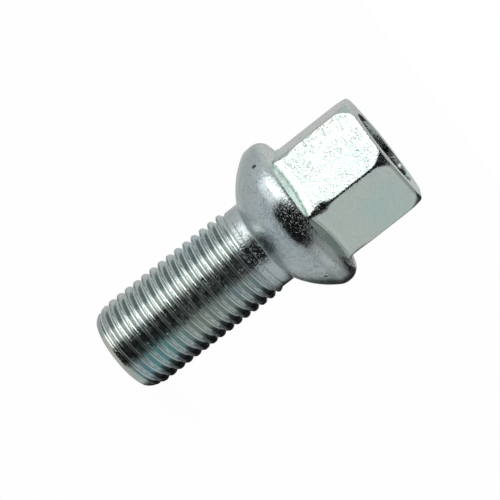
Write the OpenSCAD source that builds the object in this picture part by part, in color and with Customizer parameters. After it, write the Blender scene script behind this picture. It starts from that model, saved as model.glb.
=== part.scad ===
// Ball seat wheel bolt, forged in one piece, standing on its thread end.
// The axis is Z. The origin is the centre of the flat at the thread end.
// The thread is drawn as the plain cylinder over its crests.

/* [Thread] */
// Outer diameter over the thread crests
thread_d = 14; // [12:0.5:15]
// Pitch of the thread
thread_pitch = 1.5; // [1:0.25:2]
// Length from the end face to the last full crest
thread_l = 22.6; // [12:0.2:24]
// Length of the tapered point that leads the thread in
point_l = 2.2; // [1:0.1:4]
// How far the flat of the point lies inside the thread root
point_inset = 0.12; // [0.05:0.01:0.5]

/* [Neck and ball seat] */
// Length from the end face to the start of the ball seat
shank_l = 26; // [25.6:0.2:40]
// Radius of the hollow corner between the neck and the ball
neck_fillet_r = 0.4; // [0.2:0.1:1]
// Radius of the ball that seats in the wheel
ball_r = 13; // [11:0.1:16]
// Height of the ball seat, from the neck to the band round the collar
seat_l = 5.2; // [4:0.1:8]
// Width of the straight band round the collar
band_w = 1.1; // [0.5:0.1:2]
// Radius of the collar's back edge
rim_r = 1.6; // [0.8:0.1:2]
// How far round the back edge turns before the back flank starts, in degrees
rim_turn = 55; // [30:1:65]
// Rise of the back flank towards the hexagon, in degrees
flank_angle = 20; // [5:1:24]

/* [Hexagon head] */
// Length from the start of the ball seat to the end of the head
head_l = 21; // [18:0.5:30]
// Spanner size of the hexagon
spanner = 17; // [15:0.5:18]
// How far the forged hexagon is under its spanner size
spanner_play = 0.2; // [0.05:0.05:0.4]
// How much is rounded off each corner of the hexagon
corner_blunt = 0.15; // [0.05:0.05:0.5]
// Length over which the corners draw in towards the end
corner_taper_l = 2.1; // [1:0.1:4]
// How far the corners draw in at the end
corner_taper = 0.55; // [0.2:0.05:1]
// Radius of the edge round the end face
end_edge_r = 0.5; // [0.2:0.1:1]

/* [Recess in the head] */
// Diameter of the round recess
recess_d = 11.4; // [8:0.2:13]
// Depth of the recess
recess_depth = 5.5; // [3:0.5:9]
// Depth of the tapered floor of the recess
recess_floor_l = 1.2; // [0.4:0.1:2]
// How far the floor of the recess is narrower than its mouth, on each side
recess_floor_inset = 1.6; // [0.5:0.1:3]
// Bevel round the mouth of the recess
mouth_bevel = 0.3; // [0.1:0.1:0.6]

/* [Hidden] */
$fn = 96;
// Lets one shape run into the next, so that they join as one solid
overlap = 0.2;
zinc = "#c3ccce";

// Metric thread form: root depth and pitch line as shares of the pitch
root_depth = 0.6134 * thread_pitch;
pitch_line_d = thread_d - 0.6495 * thread_pitch;
thread_r = thread_d / 2;
point_r = thread_r - root_depth - point_inset;
// The neck has the diameter of the blank that the thread is rolled on
neck_r = pitch_line_d / 2;
runout_l = 0.4 * thread_pitch;

// The ball meets the neck at the end of the shank
ball_z = shank_l + sqrt(pow(ball_r, 2) - pow(neck_r, 2));
fillet_x = neck_r + neck_fillet_r;
fillet_z = ball_z - sqrt(pow(ball_r + neck_fillet_r, 2) - pow(fillet_x, 2));
fillet_share = ball_r / (ball_r + neck_fillet_r);
fillet_ball_x = fillet_x * fillet_share;
fillet_ball_z = ball_z + (fillet_z - ball_z) * fillet_share;

// The band takes the collar's width from the end of the ball seat
band_z = shank_l + seat_l;
collar_r = sqrt(pow(ball_r, 2) - pow(ball_z - band_z, 2));
rim_x = collar_r - rim_r;
rim_z = band_z + band_w;
flank_x = rim_x + rim_r * cos(rim_turn);
flank_z = rim_z + rim_r * sin(rim_turn);
flank_tip_z = flank_z + flank_x * tan(flank_angle);

hex_r = (spanner - spanner_play) / sqrt(3);
blunt_r = hex_r - corner_blunt;
end_r = blunt_r - corner_taper;
end_z = shank_l + head_l;
taper_z = end_z - corner_taper_l;
// The round edge of the end face touches both the face and the tapered corners
corner_tilt = atan(corner_taper / corner_taper_l);
edge_x = end_r + end_edge_r * (tan(corner_tilt) - 1 / cos(corner_tilt));
edge_z = end_z - end_edge_r;

recess_r = recess_d / 2;
recess_floor_r = recess_r - recess_floor_inset;

// Shank over the thread crests, with its tapered point and the run-out into the neck
module shank() {
    cylinder(r1 = point_r, r2 = thread_r, h = point_l);
    translate([0, 0, point_l])
        cylinder(r = thread_r, h = thread_l - point_l);
    translate([0, 0, thread_l])
        cylinder(r1 = thread_r, r2 = neck_r, h = runout_l);
}

// Plain neck, which runs on inside the ball
module neck() {
    translate([0, 0, thread_l])
        cylinder(r = neck_r, h = shank_l - thread_l + overlap);
}

// Corner between the neck and the ball, hollowed by a rolling circle
module neck_fillet() {
    rotate_extrude()
        difference() {
            polygon([
                [neck_r - overlap, fillet_z],
                [fillet_x, fillet_z],
                [fillet_ball_x, fillet_ball_z],
                [neck_r - overlap, fillet_ball_z]
            ]);
            translate([fillet_x, fillet_z])
                circle(r = neck_fillet_r);
        }
}

// Half section of the collar's rim: the straight band and its rounded back edge
module rim_section() {
    square([collar_r, rim_z]);
    square([rim_x, rim_z + rim_r]);
    translate([rim_x, rim_z])
        circle(r = rim_r);
}

// Collar with the ball seat in front, the rim round it and the flank behind
module ball_collar() {
    rotate_extrude()
        intersection() {
            translate([0, ball_z])
                circle(r = ball_r);
            union() {
                rim_section();
                polygon([[0, rim_z], [flank_x, flank_z], [0, flank_tip_z]]);
            }
            polygon([
                [0, shank_l],
                [collar_r + overlap, shank_l],
                [collar_r + overlap, flank_tip_z - (collar_r + overlap) * tan(flank_angle)],
                [0, flank_tip_z]
            ]);
        }
}

// Round envelope of the head: blunted corners, their taper and the edge of the end face
module head_envelope() {
    rotate_extrude() {
        square([blunt_r, taper_z]);
        square([edge_x, end_z]);
        polygon([
            [edge_x, edge_z],
            [0, taper_z],
            [blunt_r, taper_z],
            [edge_x + end_edge_r * cos(corner_tilt), edge_z + end_edge_r * sin(corner_tilt)]
        ]);
        translate([edge_x, edge_z])
            circle(r = end_edge_r);
    }
}

// Hexagon head with its corners cut by the round envelope
module hex_head() {
    intersection() {
        translate([0, 0, rim_z])
            cylinder(r = hex_r, h = end_z - rim_z, $fn = 6);
        head_envelope();
    }
}

// Round blind recess with a tapered floor and a bevelled mouth
module head_recess() {
    translate([0, 0, end_z - recess_depth])
        cylinder(r1 = recess_floor_r, r2 = recess_r, h = recess_floor_l);
    translate([0, 0, end_z - recess_depth + recess_floor_l])
        cylinder(r = recess_r, h = recess_depth - recess_floor_l + overlap);
    translate([0, 0, end_z - mouth_bevel])
        cylinder(r1 = recess_r, r2 = recess_r + mouth_bevel, h = mouth_bevel);
}

module wheel_bolt() {
    color(zinc)
        difference() {
            union() {
                shank();
                neck();
                neck_fillet();
                ball_collar();
                hex_head();
            }
            head_recess();
        }
}

wheel_bolt();
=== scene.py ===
import bmesh
import bpy
import math
from mathutils import Matrix, Vector


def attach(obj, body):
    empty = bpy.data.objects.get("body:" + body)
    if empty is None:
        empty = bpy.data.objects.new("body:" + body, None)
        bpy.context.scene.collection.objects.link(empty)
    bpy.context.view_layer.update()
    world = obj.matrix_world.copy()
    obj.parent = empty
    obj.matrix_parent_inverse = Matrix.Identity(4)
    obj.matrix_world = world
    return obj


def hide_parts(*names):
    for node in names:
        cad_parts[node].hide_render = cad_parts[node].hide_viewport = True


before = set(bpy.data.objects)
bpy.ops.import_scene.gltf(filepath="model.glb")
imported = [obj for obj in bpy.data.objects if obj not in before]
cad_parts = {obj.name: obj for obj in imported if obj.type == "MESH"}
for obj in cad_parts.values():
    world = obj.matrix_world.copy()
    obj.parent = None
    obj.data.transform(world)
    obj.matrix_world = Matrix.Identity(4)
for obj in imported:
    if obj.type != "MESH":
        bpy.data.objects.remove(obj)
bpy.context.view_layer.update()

# Wheel bolt with a ball seat and a hollow hexagon head, plated with zinc.
# The bolt is modelled in millimetres on the Z axis, thread end at zero, and scaled to metres at the end.

mm = 0.001
hair = 0.001                # in millimetres: what is nearer to a line than this lies on it


camera = {
    "lens": 115.24,
    "sensor": 36,
    "clip": (0.01, 20),
    "distance": 222.91,
    "lookAt": (-0.280, -0.151, 23.321),
    "azimuth": 22.26,
    "elevation": 10.51,
    "roll": 51.85,          # the bolt lies across the picture, head up to the right
}

# two directions round the axis: the side that lies low in the picture, and the side towards the camera
lowSide = math.radians(camera["azimuth"])
nearSide = math.radians(camera["azimuth"] - 90)


def addObject(name, data):
    made = bpy.data.objects.new(name, data)
    bpy.context.scene.collection.objects.link(made)
    return made


def meshFrom(bm, name):
    mesh = bpy.data.meshes.new(name)
    bm.to_mesh(mesh)
    bm.free()
    return mesh


def makeCamera():
    data = bpy.data.cameras.new("camera")
    data.lens, data.sensor_width = camera["lens"], camera["sensor"]
    data.clip_start, data.clip_end = camera["clip"]
    made = addObject("camera", data)
    climb = math.radians(camera["elevation"])
    back = Vector((math.sin(lowSide) * math.cos(climb), -math.cos(lowSide) * math.cos(climb), math.sin(climb)))
    made.location = (Vector(camera["lookAt"]) + back * camera["distance"]) * mm
    made.rotation_mode = "QUATERNION"
    turn = (-back).to_track_quat("-Z", "Y")
    made.rotation_quaternion = turn @ Matrix.Rotation(math.radians(camera["roll"]), 3, "Z").to_quaternion()
    bpy.context.scene.camera = made
    print("camera made")


class Wire:
    # a node's output that can stand in an ordinary sum
    def __init__(self, tree, socket):
        self.tree, self.socket = tree, socket

    def node(self, kind, settings=None, sockets=None, out=0):
        made = self.tree.nodes.new(kind)
        for name, value in (settings or {}).items():
            setattr(made, name, value)
        for name, value in (sockets or {}).items():
            if isinstance(value, Wire):
                self.tree.links.new(value.socket, made.inputs[name])
            else:
                made.inputs[name].default_value = value
        return Wire(self.tree, made.outputs[out] if made.outputs else None)

    def output(self, name):
        # another output of the same node
        return Wire(self.tree, self.socket.node.outputs[name])

    def math(self, operation, first, second=0.0):
        return self.node("ShaderNodeMath", {"operation": operation}, {0: first, 1: second})

    def __add__(self, other): return self.math("ADD", self, other)
    def __radd__(self, other): return self.math("ADD", other, self)
    def __sub__(self, other): return self.math("SUBTRACT", self, other)
    def __rsub__(self, other): return self.math("SUBTRACT", other, self)
    def __mul__(self, other): return self.math("MULTIPLY", self, other)
    def __rmul__(self, other): return self.math("MULTIPLY", other, self)
    def __truediv__(self, other): return self.math("DIVIDE", self, other)
    def __rtruediv__(self, other): return self.math("DIVIDE", other, self)
    def __abs__(self): return self.math("ABSOLUTE", self)

    def larger(self, other): return self.math("MAXIMUM", self, other)

    def rise(self, start, end):
        # 0 at start, 1 at end, smooth between them
        return self.node("ShaderNodeMapRange", {"interpolation_type": "SMOOTHSTEP"},
                         {"Value": self, "From Min": start, "From Max": end, "To Min": 0.0, "To Max": 1.0})

    def within(self, comes, goes):
        # comes in over one range and goes out over another
        return self.rise(*comes) * self.rise(*goes)

    def near(self, place, width):
        # 1 at place, fading to 0 at width on either side of it
        return 1 - abs(self - place).rise(0.0, width)

    def blend(self, first, second):
        # the first colour where this is 0, the second where it is 1; the sockets of colours are 6, 7 and 2
        first, second = (value if isinstance(value, Wire) else (*value, 1) for value in (first, second))
        return self.node("ShaderNodeMix", {"data_type": "RGBA"}, {0: self, 6: first, 7: second}, 2)


def startMaterial(name):
    made = bpy.data.materials.new(name)
    made.use_nodes = True
    made.node_tree.nodes.clear()
    return made, Wire(made.node_tree, None)


def splitPlace(w, place):
    # the three coordinates of a place, and its distance from the vertical axis
    x = w.node("ShaderNodeSeparateXYZ", {}, {"Vector": place})
    y, z = x.output("Y"), x.output("Z")
    return x, y, z, w.math("SQRT", x * x + y * y)


def seenDirectly(w):
    # 1 for rays from the camera, from a reflection or through something clear, 0 for those that carry light
    path = w.node("ShaderNodeLightPath")
    return path.larger(path.output("Is Glossy Ray")).larger(path.output("Is Transmission Ray"))


boltShape = {
    "threadRadius": 7.0,
    "pitch": 1.5,
    "threadPhase": 0.57,         # height of the first crest on the side towards the camera
    "pitchesBelow": 3,           # the profile starts this far under the point, which is then cut flat
    "turns": 19,
    "stepsPerTurn": 100,
    "crestWear": 0.10,           # the plated crests stand this much inside the nominal size
    "crestLean": -0.07,          # the crests lean this far towards the point
    "crestSeam": 0.045,          # rolling leaves a fine seam along the middle of each crest
    "seamWall": (0.6, 0.03),     # share of the seam's depth, and how far out from its middle
    # the crest's two shoulders, each as depth below its top and distance from its middle; the one towards
    # the head wore rounder
    "headShoulder": ((0.008, 0.07), (0.014, 0.10), (0.035, 0.15), (0.07, 0.20), (0.12, 0.25)),
    "pointShoulder": ((0.003, 0.07), (0.0, 0.15), (0.014, 0.185), (0.05, 0.216)),
    "flankFrom": 0.185,          # where the straight sides would meet the crest's top
    "sideAngle": 30,             # of the straight sides, as on any metric thread
    "threadDepth": 0.76,
    # the rounded point: height, and the greatest radius there
    "point": ((0, 5.96), (0.15, 6.12), (0.58, 6.38), (1.16, 6.6), (2.3, 6.87), (3.4, 7.0)),
    "pointInset": 0.25,          # a ring of faces round the flat end
    "threadFade": (22.9, 24.1),  # the thread runs out into the neck between these heights
    "neckRadius": 6.513,
    "joinHeight": 24.5,          # where the thread and the head are joined
    "seatStart": 26.0,
    "neckFillet": 0.4,
    "ballRadius": 13.0,
    "bandHeight": 31.2,
    "bandWidth": 0.95,
    "bandRounding": 2.0,         # the seat runs softly into the band
    "rimRadius": 1.7,
    "rimTurn": 58.5,
    "rimLift": (0.17, 0.21),     # the die left the back edge of the collar higher on one side: mean and change
    "rimHighSide": -69,          # degrees round from the side towards the camera
    "rimShift": 0.1,             # and pushed it over by this much, away from the low side
    "rimShiftBelow": 0.6,        # starting this far under the rim's centre
    "rimShiftRadius": (9.0, 10.6),
    "flankAngle": 18,
    "hexInset": 8.38,            # half the size across the flats
    "hexDraft": (0.006, 35),     # the flats draw in by this much per millimetre, measured from this height
    "footRows": (0, 0.1, 0.2, 0.3),    # close rows of points for the fillet at the hexagon's foot
    "footFillet": 0.8,
    "footSpread": 0.3,           # share of the fillet's height that it runs out on to the back flank
    "footCurve": 2.5,
    "cornerRounding": 0.5,
    "cornerBulge": 2.25,         # rounding of the corners where the die pressed them, low on the head
    "bulgeSide": -60,            # degrees round the bolt where it pressed hardest
    "bulgeAt": 35.7,
    "bulgeHalf": 2.2,
    "cornerReach": 9.72,         # the corners are cut off at this distance from the axis
    "taperStart": 43.2,
    "taperCurve": 0.069,         # and draw in above the taper's start, with the square of the height
    "cutSoftness": 0.06,
    "headTop": 46.86,
    "endEdge": 0.5,
    "recessRadius": 5.7,
    "mouthBevel": 0.3,
    "recessWallEnd": 42.7,
    "recessFloor": 41.5,
    "recessFloorRadius": 4.1,
    "columns": 288,
    "crowding": 0.8,             # how far the columns of faces crowd towards the hexagon's corners
    "threadWeld": 0.002,         # points nearer than this become one
    "weld": 0.0005,
}


def smooth(value, start, end):
    share = min(max((value - start) / (end - start), 0.0), 1.0)
    return share * share * (3 - 2 * share)


def softSmaller(first, second, width):
    # the smaller of two lengths, rounded where they cross
    return (first + second - math.sqrt((first - second) ** 2 + width ** 2)) / 2


def arcPoints(centre, radius, start, end, count):
    # points of an arc in the plane of radius and height, both ends included
    angles = [math.radians(start + (end - start) * i / count) for i in range(count + 1)]
    return [(centre[0] + radius * math.cos(angle), centre[1] + radius * math.sin(angle)) for angle in angles]


def linePoints(first, last, count):
    # points between two others, both ends left out
    return [(first[0] + (last[0] - first[0]) * i / count, first[1] + (last[1] - first[1]) * i / count)
            for i in range(1, count)]


def onPath(points, at):
    # the second number of a path at the first, straight between its points
    for first, last in zip(points, points[1:]):
        if at < last[0]:
            return first[1] + (last[1] - first[1]) * (max(at, first[0]) - first[0]) / (last[0] - first[0])
    return points[-1][1]


def drawProfile(bm, points):
    verts = [bm.verts.new((radius, 0, height)) for radius, height in points]
    return verts + [bm.edges.new(pair) for pair in zip(verts, verts[1:])]


def everything(bm):
    return bm.verts[:] + bm.edges[:] + bm.faces[:]


def threadProfile():
    # one pitch, from the middle of a crest to the middle of the next
    b = boltShape
    pitch, crest = b["pitch"], b["threadRadius"] - b["crestWear"]
    root = crest - b["threadDepth"]
    spread = math.tan(math.radians(b["sideAngle"]))
    rounding = (pitch / 2 - b["flankFrom"] - b["threadDepth"] * spread) / spread
    share, out = b["seamWall"]
    seam = [(crest - b["crestSeam"], 0.0), (crest - b["crestSeam"] * share, out)]
    # the rounded root, by angle from its middle
    valley = [(root + rounding * (1 - math.cos(math.radians(angle))),
               pitch / 2 - rounding * math.sin(math.radians(angle))) for angle in (60, 36, 12)]
    halves = []
    for shoulder in (b["headShoulder"], b["pointShoulder"]):
        side = [(crest - depth, away) for depth, away in shoulder]
        halves.append(seam + side + linePoints(side[-1], valley[0], 4) + valley)
    whole = halves[0] + [(radius, pitch - height) for radius, height in reversed(halves[1])]
    return [(radius, height + b["crestLean"] * (radius - root) / b["threadDepth"]) for radius, height in whole]


def makeThread():
    b = boltShape
    bm = bmesh.new()
    start = b["threadPhase"] - b["pitchesBelow"] * b["pitch"]
    line = drawProfile(bm, [(radius, height + start) for radius, height in threadProfile()])
    bmesh.ops.rotate(bm, verts=bm.verts[:], cent=(0, 0, 0), matrix=Matrix.Rotation(nearSide, 3, "Z"))
    bmesh.ops.spin(bm, geom=line, cent=(0, 0, 0), axis=(0, 0, 1), dvec=(0, 0, b["pitch"] / b["stepsPerTurn"]),
                   angle=2 * math.pi, steps=b["stepsPerTurn"], use_merge=False, use_duplicate=False)
    turn = everything(bm)
    for lift in range(1, b["turns"]):
        more = bmesh.ops.duplicate(bm, geom=turn)["geom"]
        bmesh.ops.translate(bm, verts=[v for v in more if isinstance(v, bmesh.types.BMVert)],
                            vec=(0, 0, lift * b["pitch"]))
    bmesh.ops.remove_doubles(bm, verts=bm.verts[:], dist=b["threadWeld"])
    for vert in bm.verts:
        radius, height = vert.co.xy.length, vert.co.z
        target = min(radius, onPath(b["point"], height))
        target += (b["neckRadius"] - target) * smooth(height, *b["threadFade"])
        vert.co.x *= target / radius
        vert.co.y *= target / radius
    bmesh.ops.bisect_plane(bm, geom=everything(bm), dist=b["weld"], plane_co=(0, 0, 0), plane_no=(0, 0, 1),
                           clear_inner=True)
    bmesh.ops.bisect_plane(bm, geom=everything(bm), dist=b["weld"], plane_co=(0, 0, b["joinHeight"]),
                           plane_no=(0, 0, 1), clear_outer=True)
    rim = [e for e in bm.edges if e.is_boundary and max(v.co.z for v in e.verts) < hair]
    made = bmesh.ops.edgenet_fill(bm, edges=rim)
    bmesh.ops.inset_region(bm, faces=made["faces"], thickness=b["pointInset"], depth=0.0, use_even_offset=True)
    print("thread cut,", len(bm.faces), "faces")
    return bm


def headProfile():
    # the round blank from the neck up, over the head and down into the recess, and the places on it that
    # the pressing starts from; the last number of each line and arc is its count of steps
    b = boltShape
    neck, fillet, ball, soft = b["neckRadius"], b["neckFillet"], b["ballRadius"], b["bandRounding"]
    ballHeight = b["seatStart"] + math.sqrt(ball ** 2 - neck ** 2)
    filletAt = (neck + fillet, ballHeight - math.sqrt((ball + fillet) ** 2 - (neck + fillet) ** 2))
    leave = math.degrees(math.asin((neck + fillet) / (ball + fillet)))
    points = [(neck, b["joinHeight"])]
    points += linePoints(points[0], (neck, filletAt[1]), 5)
    points += arcPoints(filletAt, fillet, 180, 90 + leave, 6)

    collar = math.sqrt(ball ** 2 - (ballHeight - b["bandHeight"]) ** 2)
    softAt = (collar - soft, ballHeight - math.sqrt((ball - soft) ** 2 - (collar - soft) ** 2))
    turn = -math.degrees(math.acos((collar - soft) / (ball - soft)))
    rim = (collar - b["rimRadius"], b["bandHeight"] + b["bandWidth"])
    points += arcPoints((0, ballHeight), ball, leave - 90, turn, 24)[1:]
    points += arcPoints(softAt, soft, turn, 0, 10)[1:]
    points += linePoints((collar, softAt[1]), (collar, rim[1]), 4)
    points += arcPoints(rim, b["rimRadius"], 0, b["rimTurn"], 12)

    crease = points[-1]
    corner = (b["hexInset"] - b["cornerRounding"]) * 2 / math.sqrt(3) + b["cornerRounding"]
    foot = (corner, crease[1] + (crease[0] - corner) * math.tan(math.radians(b["flankAngle"])))
    edge, top, bevel = b["endEdge"], b["headTop"], b["mouthBevel"]
    points += linePoints(crease, foot, 10)
    points += [(corner, foot[1] + row) for row in b["footRows"]]
    points += linePoints(points[-1], (corner, top - edge), 36)
    points += arcPoints((corner - edge, top - edge), edge, 0, 90, 6)

    mouth = b["recessRadius"] + bevel
    points += linePoints((corner - edge, top), (mouth, top), 8)
    points += arcPoints((mouth, top - bevel), bevel, 90, 180, 4)
    for place, count in (((b["recessRadius"], b["recessWallEnd"]), 10),
                         ((b["recessFloorRadius"], b["recessFloor"]), 4),
                         ((0, b["recessFloor"]), 4)):
        points += linePoints(points[-1], place, count) + [place]
    return points, {"rim": rim, "crease": crease, "foot": foot, "mouth": mouth}


def hexReach(angle, inset, rounding):
    # distance from the axis to a hexagon with rounded corners, corners at 0, 60, 120 degrees
    off = math.radians((math.degrees(angle) + 30) % 60 - 30)
    centre = (inset - rounding) * 2 / math.sqrt(3)
    turn = math.atan2(rounding * 0.5, centre + rounding * math.sqrt(3) / 2)
    if abs(off) < turn:
        return centre * math.cos(off) + math.sqrt(max(rounding ** 2 - (centre * math.sin(off)) ** 2, 0))
    return inset / math.cos(math.radians(30) - abs(off))


def headReach(angle, height):
    # distance from the axis to the pressed hexagon, with its soft corners low down and its cut ones
    b = boltShape
    bulge = smooth(abs(height - b["bulgeAt"]), b["bulgeHalf"], 0)
    bulge *= (0.5 + 0.5 * math.cos(angle - math.radians(b["bulgeSide"]))) ** 2
    rounding = b["cornerRounding"] + (b["cornerBulge"] - b["cornerRounding"]) * bulge
    draft, draftFrom = b["hexDraft"]
    reach = hexReach(angle, b["hexInset"] - draft * (height - draftFrom), rounding)
    cut = b["cornerReach"] - b["taperCurve"] * max(height - b["taperStart"], 0) ** 2
    return softSmaller(reach, cut, b["cutSoftness"])


def pressHead(vert, marks):
    # squeezes the round blank's vertices into the hexagon, and crowds its columns towards the corners
    b = boltShape
    rim, crease, foot, mouth = marks["rim"], marks["crease"], marks["foot"], marks["mouth"]
    corner, edge, top = foot[0], b["endEdge"], b["headTop"] - b["endEdge"]
    radius, height = vert.co.xy.length, vert.co.z
    if radius < hair:
        return
    angle = math.atan2(vert.co.y, vert.co.x)
    angle -= b["crowding"] * math.sin(6 * angle) / 6
    inRecess = height > b["recessFloor"] - hair and radius < mouth + hair
    mean, change = b["rimLift"]
    lift = mean + change * math.cos(angle - nearSide - math.radians(b["rimHighSide"]))
    if rim[1] < height < crease[1] + hair and radius > crease[0] - hair:    # the back of the rim
        height += lift * (height - rim[1]) / (crease[1] - rim[1])
    elif height > crease[1] - hair and not inRecess:
        reach = headReach(angle, height)
        slope = math.tan(math.radians(b["flankAngle"]))
        if height <= foot[1] + hair:                        # the back flank
            share = (crease[0] - radius) / (crease[0] - corner)
            radius = crease[0] - share * (crease[0] - reach)
            height = crease[1] + lift + (crease[0] - radius) * slope
        else:
            footHeight = crease[1] + lift + (crease[0] - reach) * slope
            if height < top:                                # the sides, with the fillet at their foot
                share = (height - foot[1]) / (top - foot[1])
                height = footHeight + share * (top - footHeight)
                fillet = max(b["footFillet"] - (height - footHeight), 0) / b["footFillet"]
                reach += b["footSpread"] * b["footFillet"] * fillet ** b["footCurve"]
            if height <= top + hair:
                radius = reach
            elif radius > corner - edge - hair:             # the rounded edge of the end
                radius = reach - (corner - radius)
            else:                                           # the end face
                share = (radius - mouth) / (corner - edge - mouth)
                radius = mouth + share * (reach - edge - mouth)
    vert.co = (radius * math.cos(angle), radius * math.sin(angle), height)
    shift = smooth(height, rim[1] - b["rimShiftBelow"], crease[1]) * smooth(radius, *b["rimShiftRadius"])
    vert.co -= Vector((math.cos(lowSide), math.sin(lowSide), 0)) * (b["rimShift"] * shift)


def makeHead():
    bm = bmesh.new()
    points, marks = headProfile()
    bmesh.ops.spin(bm, geom=drawProfile(bm, points), cent=(0, 0, 0), axis=(0, 0, 1), angle=2 * math.pi,
                   steps=boltShape["columns"], use_merge=True, use_duplicate=False)
    bmesh.ops.remove_doubles(bm, verts=bm.verts[:], dist=boltShape["weld"])
    for vert in bm.verts:
        pressHead(vert, marks)
    print("head forged,", len(bm.faces), "faces")
    return bm


def makeBolt(finish):
    bm = makeThread()
    head = meshFrom(makeHead(), "head")
    bm.from_mesh(head)
    bpy.data.meshes.remove(head)
    join = boltShape["joinHeight"]
    seam = [e for e in bm.edges if e.is_boundary and all(abs(v.co.z - join) < hair for v in e.verts)]
    bmesh.ops.bridge_loops(bm, edges=seam)
    bmesh.ops.recalc_face_normals(bm, faces=bm.faces[:])
    bmesh.ops.scale(bm, vec=(mm, mm, mm), verts=bm.verts[:])
    gaps = sum(1 for e in bm.edges if e.is_boundary)
    mesh = meshFrom(bm, "zincPlatedBolt")
    mesh.shade_smooth()
    mesh.materials.append(finish)
    made = addObject("zincPlatedBolt", mesh)
    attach(made, "root")
    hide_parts("wheel_bolt")
    print("bolt made,", len(mesh.polygons), "faces,", gaps, "open edges")


zinc = {
    "hexagon": (0.48, 0.545, 0.51),
    "seat": (0.45, 0.505, 0.505),
    "thread": (0.445, 0.505, 0.47),
    "threadEnd": (0.33, 0.535, 0.53),  # greener, at the point and at the head's end, on the low side
    "blue": (0.36, 0.47, 0.53),
    "straw": (0.50, 0.52, 0.45),
    "paintedFlankSheen": (0.60, 0.635, 0.615),    # painted highlight: lighter flanks on the thread's upper side
    "milky": (0.52, 0.57, 0.565),      # dull plating in the thread roots and along the crests
    "paintedCollarShade": (0.35, 0.385, 0.385),     # painted shade: the collar darker from its middle towards the low side
    "slateAndShade": (0.21, 0.28, 0.30),       # painted shade in a band on the thread's upper side and on the back flank's low side; dark specks on the seat
    "paintedLowShade": (0.13, 0.155, 0.165),      # painted shade along the thread's low side
    "dirtAndShade": (0.04, 0.045, 0.045),      # painted shade in the recess; dark in the seam of the crests, the nicks and the pores
    # nicks: where, and how wide, in millimetres
    "nicks": ((-5.26, -10.22, 32.14, 0.36), (10.70, -3.07, 30.54, 0.26), (1.47, -6.64, 16.92, 0.28),
              (0.57, -6.78, 18.22, 0.22)),
    "nickEdge": 0.2,
    # the noises: size in metres, detail and roughness
    "patches": (0.009, 2.0, 0.5),
    "drift": (0.0198, 1.0, 0.5),
    "grain": (0.00022, 2.0, 0.55),
    "coarse": (0.000748, 1.0, 0.5),
    "spread": (0.00198, 2.0, 0.5),
    "pores": (0.00045, 3.0, 0.65),
    # depths of the fine relief, in millimetres, and how much of it is gone in three places
    "grainDepth": 0.042,
    "coarseShare": 0.7,
    "pitDepth": 0.06,
    "calmThread": 0.45,
    "calmPoint": 0.3,
    "calmBand": 0.55,
    # and what some places add to the roughness
    "roughness": 0.15,
    "rougherPatches": 0.08,
    "rougherRoot": 0.15,
    "rougherCrestEdge": 0.28,
}


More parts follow.
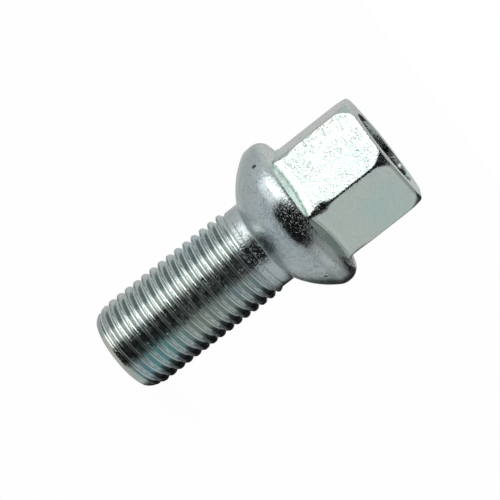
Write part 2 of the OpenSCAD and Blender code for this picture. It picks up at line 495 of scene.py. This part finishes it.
def makeZinc():
    z, b = zinc, boltShape
    made, w = startMaterial("zincPlatedSteel")
    place = w.node("ShaderNodeTexCoord", out="Object")

    def noise(size, detail, rough):
        return w.node("ShaderNodeTexNoise", {"noise_dimensions": "3D"},
                      {"Vector": place, "Scale": 1 / size, "Detail": detail, "Roughness": rough})

    patches, drift, grain, coarse, spread, fine = (
        noise(*z[name]) for name in ("patches", "drift", "grain", "coarse", "spread", "pores"))

    # millimetres up the axis, out from it, towards the low side in the picture and towards the viewer
    x, y, up, out = splitPlace(w, place)
    height, radius = up / mm, out / mm
    low = (x * math.cos(lowSide) + y * math.sin(lowSide)) / mm
    front = (x * math.sin(lowSide) - y * math.cos(lowSide)) / mm

    # along the thread: 0 in the middle of a crest, 0.5 in the middle of a root; the 4 keeps it positive
    turn = w.math("ARCTAN2", y, x) / (2 * math.pi)
    start = (b["threadPhase"] / b["pitch"] - (camera["azimuth"] - 90) / 360) % 1
    phase = w.math("FRACT", (height - b["crestLean"]) / b["pitch"] - turn - start + 4)

    # where things are on the bolt
    onThread = height.rise(23.6, 23.0)
    root = onThread * height.rise(0.3, 0.9) * radius.rise(6.18, 6.16)
    sides = onThread * height.rise(1.0, 2.2) * radius.within((6.22, 6.3), (6.86, 6.8))
    crestEdge = onThread * phase.near(0.92, 0.05) * radius.rise(6.72, 6.84)
    crestSeam = onThread * abs(phase - 0.5).rise(0.458, 0.482) * radius.rise(6.7, 6.8)
    onSeat = height.within((26.0, 28.0), (34.0, 33.0))
    onBand = height.within((30.2, 31.0), (33.0, 32.5))
    onCollar = height.within((31.1, 31.3), (34.1, 33.5)) * radius.rise(10.5, 10.8)
    onBackFlank = height.within((33.7, 33.9), (34.9, 34.5))
    onHead = height.rise(33.0, 34.0)
    inRecess = height.rise(41.2, 41.4) * (radius + 0.8 * spread).rise(6.35, 6.2)

    # what the plating and the handling left there, and painted shade and highlights
    pointTint = height.within((0, 3), (13, 5)) * low.rise(0.4, 1.8)
    blueTint = height.rise(0.5, 2.5) * patches.rise(0.46, 0.66) * (0.75 - 0.4 * height.rise(22, 25))
    headTint = height.rise(37.5, 41.5) * low.rise(3.0, 5.2)
    # painted shade: a dark band along the thread's upper side
    paintedUpperShade = onThread * low.within((-6.6, -6.1), (-3.1, -3.8))
    # painted highlight: the thread's flanks lighter in a band nearer the middle of its upper side
    paintedFlankSheen = sides * low.within((-3.9, -3.2), (-1.0, -1.6))
    milky = root.larger(crestEdge * coarse.rise(0.35, 0.6))
    specks = 0.2 * coarse.rise(0.48, 0.68) + 0.5 * grain.rise(0.5, 0.62) * spread.rise(0.42, 0.58)
    # painted shade: the collar darker from its middle towards the low side, less so at the very bottom
    paintedCollarShade = onCollar * low.rise(-7.5, -4) * (1 - 0.5 * low.rise(4, 6))
    # painted shade: the recess dark inside, less so in patches near its mouth
    recessShade = inRecess * (0.92 - 0.9 * spread.rise(0.48, 0.55) * height.rise(43, 45))
    pores = onHead * front.rise(1, 4) * low.rise(1.8, 0.9) * fine.rise(0.53, 0.62)
    pores = pores * (drift + 0.22 * low.rise(0, -5)).rise(0.53, 0.66)
    pits = grain.rise(0.60, 0.68) * spread.rise(0.42, 0.58) * (1 - 0.8 * onHead * low.rise(1.2, 2.0))
    nicks = 0.0
    for *middle, size in z["nicks"]:
        off = w.node("ShaderNodeVectorMath", {"operation": "DISTANCE"},
                     {0: place, 1: [value * mm for value in middle]}, "Value") / mm
        nicks = (off + 0.25 * coarse).rise(size + z["nickEdge"], size) + nicks

    # laid one over the other: how strong, where, which colour
    layers = (
        (1.0, pointTint, "threadEnd"),
        (1.0, height.rise(21, 24), "seat"),
        (1.0, onHead, "hexagon"),
        (1.0, blueTint, "blue"),
        (0.4, headTint, "threadEnd"),
        (0.7, drift.rise(0.52, 0.68), "straw"),
        # painted shade along the thread's upper side
        (0.5, paintedUpperShade, "slateAndShade"),
        # painted shade: the thread dark along its low side
        (1.0, onThread * low.rise(4.8, 5.5), "paintedLowShade"),
        (0.65, paintedFlankSheen, "paintedFlankSheen"),
        (1.0, milky, "milky"),
        (1.0, crestSeam * coarse.rise(0.62, 0.45), "dirtAndShade"),
        (1.0, onSeat * specks, "slateAndShade"),
        # painted shade: the back flank darker on its low side
        (0.35, onBackFlank * low.rise(3.8, 4.8), "slateAndShade"),
        (1.0, paintedCollarShade, "paintedCollarShade"),
        (1.0, recessShade, "dirtAndShade"),
        (1.0, nicks, "dirtAndShade"),
        (0.35, pores, "dirtAndShade"),
    )
    colour = z["thread"]
    for strength, where, name in layers:
        colour = (strength * where).blend(colour, z[name])

    roughness = z["roughness"] + z["rougherPatches"] * coarse.rise(0.4, 0.65)
    roughness = roughness + z["rougherRoot"] * root + z["rougherCrestEdge"] * crestEdge
    calm = z["calmThread"] * onThread + z["calmPoint"] * height.rise(13, 8) + z["calmBand"] * onBand
    relief = (grain + z["coarseShare"] * coarse) * z["grainDepth"] - pits * z["pitDepth"]
    bump = w.node("ShaderNodeBump", {}, {"Strength": 1.0, "Distance": mm, "Height": relief * (1 - calm)})
    shader = w.node("ShaderNodeBsdfPrincipled", {},
                    {"Base Color": colour, "Roughness": roughness, "Metallic": 1.0, "Normal": bump})
    w.node("ShaderNodeOutputMaterial", {}, {"Surface": shader})
    print("zinc finish mixed")
    return made


floor = {
    "size": 3.0,
    "colour": (0.8, 0.8, 0.8, 1),
    "glow": 0.975,
}


def makeFloor():
    bm = bmesh.new()
    bmesh.ops.create_grid(bm, x_segments=1, y_segments=1, size=floor["size"] / 2)
    mesh = meshFrom(bm, "floor")
    finish, w = startMaterial("paleFloor")
    matt = w.node("ShaderNodeBsdfDiffuse", {}, {"Color": floor["colour"]})
    glow = w.node("ShaderNodeEmission", {}, {"Color": (1, 1, 1, 1), "Strength": 1.0})
    mixed = w.node("ShaderNodeMixShader", {}, {0: seenDirectly(w) * floor["glow"], 1: matt, 2: glow})
    w.node("ShaderNodeOutputMaterial", {}, {"Surface": mixed})
    mesh.materials.append(finish)
    made = addObject("floor", mesh)
    made.visible_glossy = False
    print("floor laid")


# Places on the tent are in degrees round the bolt from the camera, and in degrees up from the bolt's middle.
# A range says where something comes in: nothing of it at the first number, all of it at the second.
tent = {
    "radius": 1.2,
    "height": 0.0235,
    "level": 0.8,
    # lighter and darker parts of the cloth: change, range round, ranges up
    "parts": (
        (-0.12, (-95, -125), ()),
        (-0.1, (30, 60), ((-6, -9),)),
        (-0.3, (42, 52), ((14, 20),)),
        (0.06, (55, 62), ((-9, -7),)),
        (0.2, (-95, -125), ((8, 16),)),
    ),
    "backPart": (-0.22, (170, 174), ((1, 4), (12, 9))),     # straight behind the bolt, the same on both sides
    "windowAt": -49,
    "windowHalf": 26,
    "windowEdge": 6,
    "windowFoot": (-45, -25),
    "windowLevel": 1.62,
    "windowGlare": ((0.5, (-9.5, -7.5)), (1.3, (-2, 0))),   # brighter higher up: how much, over which range
    "openingAt": 6,
    "openingHalf": 37.5,
    "openingEdge": 4,
    "openingFoot": (-69, -64),
    "openingDepth": 0.98,
    "roofOpening": (65, 69),
    "shadeRound": (122, 140),                               # dark cloth behind the bolt, on the low side
    "shadeUp": ((-40, -30), (44, 38)),
    "shadeDepth": 0.97,
    "shadeEnd": (174, 168),
    "paleShade": 0.45,                                      # and a paler strip beside it, in two parts
    "paleShadeRound": (100, 116),
    "paleShadeFoot": (-34, -28),
    "paleShadeLow": (-10.8, -12.4),
    "paleShadeHigh": ((-8.5, -7.0), (30, 22)),
}


def makeCloth():
    t = tent
    made, w = startMaterial("tentCloth")
    place = w.node("ShaderNodeTexCoord", out="Object")
    turned = w.node("ShaderNodeMapping", {}, {"Vector": place, "Rotation": (0, 0, -nearSide)})
    x, y, z, away = splitPlace(w, turned)
    around = w.math("ARCTAN2", y, x) * (180 / math.pi)
    above = w.math("ARCTAN2", z - t["height"], away) * (180 / math.pi)

    level = t["level"]
    for change, roundRange, upRanges in t["parts"]:
        part = around.rise(*roundRange)
        for upRange in upRanges:
            part = part * above.rise(*upRange)
        level = level + change * part
    change, roundRange, upRanges = t["backPart"]
    level = level + change * abs(around).rise(*roundRange) * above.within(*upRanges)

    window = around.near(t["windowAt"], t["windowHalf"] + t["windowEdge"]).rise(0.0, 0.4)
    glare = t["windowLevel"] - t["level"]
    for change, upRange in t["windowGlare"]:
        glare = change * above.rise(*upRange) + glare
    level = level + window * above.rise(*t["windowFoot"]) * glare

    half, edge = t["openingHalf"], t["openingEdge"]
    opening = abs(around - t["openingAt"]).rise(half + edge, half - edge) * above.rise(*t["openingFoot"])
    opening = opening.larger(above.rise(*t["roofOpening"]))
    pale = above.rise(*t["paleShadeLow"]).larger(above.within(*t["paleShadeHigh"]))
    pale = t["paleShade"] * around.rise(*t["paleShadeRound"]) * above.rise(*t["paleShadeFoot"]) * pale
    shade = (around.rise(*t["shadeRound"]) * above.within(*t["shadeUp"])).larger(pale)
    shade = shade * around.rise(*t["shadeEnd"])
    level = level * (1 - t["openingDepth"] * opening) * (1 - t["shadeDepth"] * shade)

    glow = w.node("ShaderNodeEmission", {}, {"Color": (1, 1, 1, 1), "Strength": level})
    w.node("ShaderNodeOutputMaterial", {}, {"Surface": glow})
    made.cycles.emission_sampling = "NONE"
    return made


def makeTent():
    # a pale light tent, seen in the metal only, with a bright window and an opening for the lens
    bm = bmesh.new()
    bmesh.ops.create_uvsphere(bm, u_segments=64, v_segments=32, radius=tent["radius"])
    bmesh.ops.reverse_faces(bm, faces=bm.faces[:])
    bmesh.ops.translate(bm, verts=bm.verts[:], vec=(0, 0, tent["height"]))
    mesh = meshFrom(bm, "lightTent")
    mesh.materials.append(makeCloth())
    made = addObject("lightTent", mesh)
    made.visible_camera = False
    made.visible_diffuse = False
    made.visible_shadow = False
    print("light tent up")


roomLevel = 0.6             # what the pale room adds to the light; to the camera it is white


def makeWorld():
    world = bpy.data.worlds.new("paleRoom")
    world.use_nodes = True
    world.node_tree.nodes.clear()
    w = Wire(world.node_tree, None)
    level = roomLevel + (1 - roomLevel) * seenDirectly(w)
    glow = w.node("ShaderNodeBackground", {}, {"Color": (1, 1, 1, 1), "Strength": level})
    w.node("ShaderNodeOutputWorld", {}, {"Surface": glow})
    bpy.context.scene.world = world
    print("room lit")


softbox = {
    "size": (0.5, 0.4),
    "power": 3.0,
    "place": (-0.35, -0.45, 0.7),
}


def makeSoftbox():
    data = bpy.data.lights.new("softbox", "AREA")
    data.shape = "RECTANGLE"
    data.size, data.size_y = softbox["size"]
    data.energy = softbox["power"]
    made = addObject("softbox", data)
    made.location = softbox["place"]
    made.rotation_mode = "QUATERNION"
    made.rotation_quaternion = made.location.to_track_quat("Z", "Y")
    made.visible_camera = False
    made.visible_glossy = False
    print("softbox hung")


makeCamera()
makeBolt(makeZinc())
makeFloor()
makeTent()
makeWorld()
makeSoftbox()

bpy.context.scene.view_settings.view_transform = "Standard"
